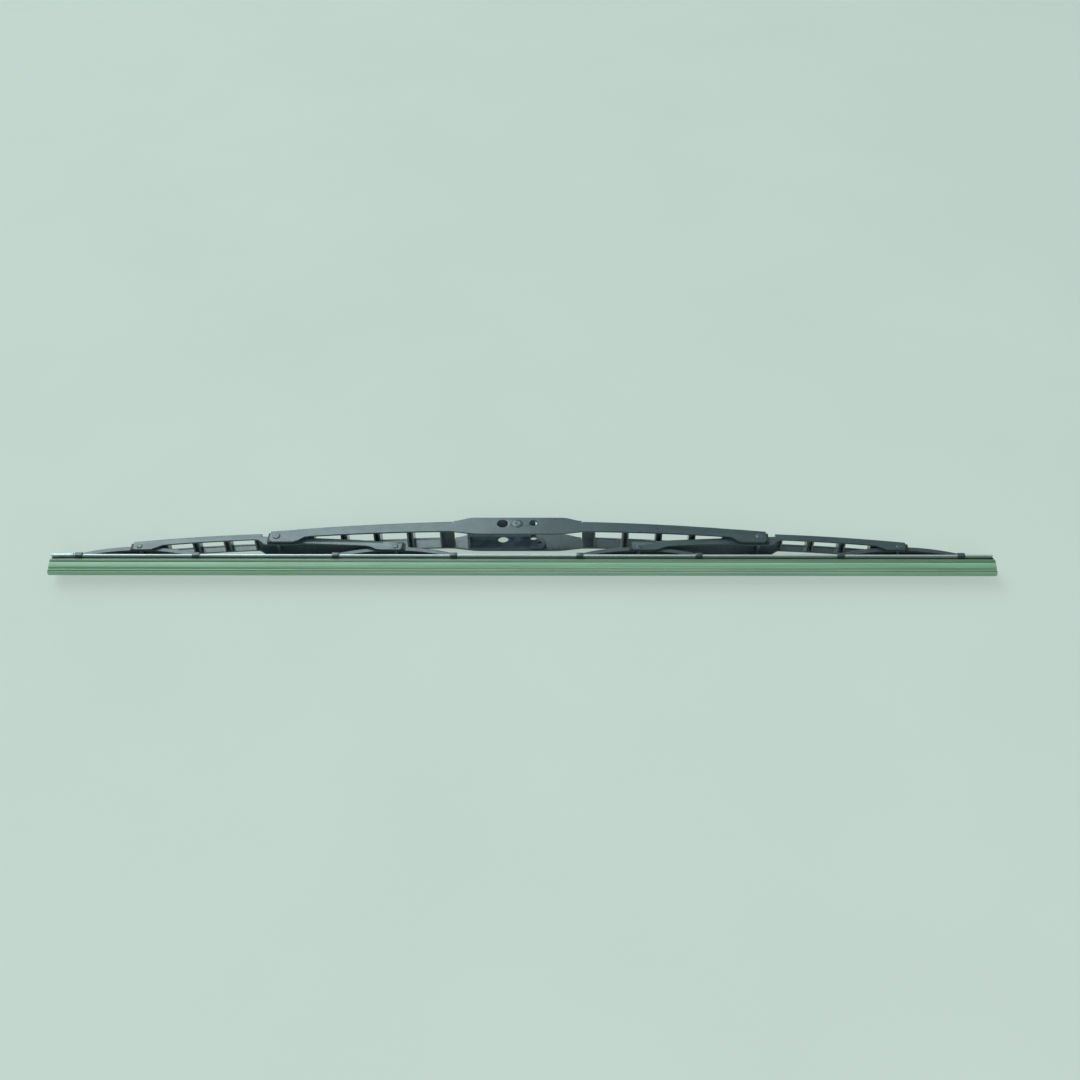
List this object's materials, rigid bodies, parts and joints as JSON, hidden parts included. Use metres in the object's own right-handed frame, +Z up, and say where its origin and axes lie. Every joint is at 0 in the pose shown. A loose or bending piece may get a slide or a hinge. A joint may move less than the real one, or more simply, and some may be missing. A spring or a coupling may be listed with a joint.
{
  "type": "wiper blade",
  "caption": "Windscreen wiper blade: bowed steel channel levers riveted in tiers, clawed on to a rubber strip with steel rails and a green guard.",
  "frame": {"origin": "on the table, under the middle of the blade as it lies on its side; the hub pin is at X = 0", "axes": "+X along the blade, +Y from the wiping lip to the back of the bridge, +Z up from the table, parallel to every pivot"},
  "size_m": [0.55, 0.0398, 0.0156],
  "materials": {
    "bridge_enamel": "gloss black stoved enamel on pressed steel",
    "yoke_enamel": "satin black enamel on pressed steel",
    "rivet_enamel": "gloss black over domed rivet heads",
    "liner_nylon": "moulded black nylon",
    "adapter_acetal": "moulded black acetal",
    "wiper_rubber": "matt moulded rubber",
    "rail_steel": "bright rolled stainless spring steel",
    "clip_steel": "pressed stainless sheet",
    "guard_vinyl": "extruded translucent green vinyl"
  },
  "bodies": {
    "bridge": {"main_bridge": "bridge_enamel", "hub_pin": "rivet_enamel", "bridge_rivet_left": "rivet_enamel", "bridge_rivet_right": "rivet_enamel", "bridge_liner_left": "liner_nylon", "bridge_liner_right": "liner_nylon", "rubber_strip": "wiper_rubber", "steel_rail_upper": "rail_steel", "steel_rail_lower": "rail_steel", "rubber_guard": "guard_vinyl"},
    "secondary_left": {"secondary_bridge_left": "bridge_enamel", "yoke_rivet_left_outer": "rivet_enamel", "yoke_rivet_left_inner": "rivet_enamel", "yoke_liner_left_outer": "liner_nylon", "yoke_liner_left_inner": "liner_nylon"},
    "secondary_right": {"secondary_bridge_right": "bridge_enamel", "yoke_rivet_right_outer": "rivet_enamel", "yoke_rivet_right_inner": "rivet_enamel", "yoke_liner_right_outer": "liner_nylon", "yoke_liner_right_inner": "liner_nylon"},
    "left_outer_yoke": {"yoke_left_outer": "yoke_enamel", "rail_end_clip": "clip_steel"},
    "left_inner_yoke": {"yoke_left_inner": "yoke_enamel"},
    "right_inner_yoke": {"yoke_right_inner": "yoke_enamel"},
    "right_outer_yoke": {"yoke_right_outer": "yoke_enamel"},
    "adapter": {"hook_adapter": "adapter_acetal"}
  },
  "joints": [
    {"name": "left_bridge_pivot", "type": "hinge", "parent": "bridge", "child": "secondary_left", "pos_m": [-0.1415, 0.00395, 0.0078], "axis": [0, 0, 1], "range_deg": [-1.5, 3.5], "deforming": ["rubber_strip", "steel_rail_upper", "steel_rail_lower", "rubber_guard"]},
    {"name": "right_bridge_pivot", "type": "hinge", "parent": "bridge", "child": "secondary_right", "pos_m": [0.1415, 0.00395, 0.0078], "axis": [0, 0, 1], "range_deg": [-3.5, 1.5]},
    {"name": "left_outer_yoke_pivot", "type": "hinge", "parent": "secondary_left", "child": "left_outer_yoke", "pos_m": [-0.2215, -0.00215, 0.0078], "axis": [0, 0, 1], "range_deg": [-0.8, 1.9]},
    {"name": "left_inner_yoke_pivot", "type": "hinge", "parent": "secondary_left", "child": "left_inner_yoke", "pos_m": [-0.071, -0.00215, 0.0078], "axis": [0, 0, 1], "range_deg": [-1.9, 0.8]},
    {"name": "right_inner_yoke_pivot", "type": "hinge", "parent": "secondary_right", "child": "right_inner_yoke", "pos_m": [0.071, -0.00215, 0.0078], "axis": [0, 0, 1], "range_deg": [-0.8, 1.9]},
    {"name": "right_outer_yoke_pivot", "type": "hinge", "parent": "secondary_right", "child": "right_outer_yoke", "pos_m": [0.2215, -0.00215, 0.0078], "axis": [0, 0, 1], "range_deg": [-1.9, 0.8]},
    {"name": "adapter_pivot", "type": "hinge", "parent": "bridge", "child": "adapter", "pos_m": [0, 0.01475, 0.0078], "axis": [0, 0, 1], "range_deg": [-15, 15]}
  ],
  "couplings": [
    {"joint": "right_bridge_pivot", "follows": "left_bridge_pivot", "ratio": -1},
    {"joint": "left_outer_yoke_pivot", "follows": "left_bridge_pivot", "ratio": 0.5145},
    {"joint": "left_inner_yoke_pivot", "follows": "left_bridge_pivot", "ratio": -0.5145},
    {"joint": "right_inner_yoke_pivot", "follows": "left_bridge_pivot", "ratio": 0.5145},
    {"joint": "right_outer_yoke_pivot", "follows": "left_bridge_pivot", "ratio": -0.5145}
  ]
}
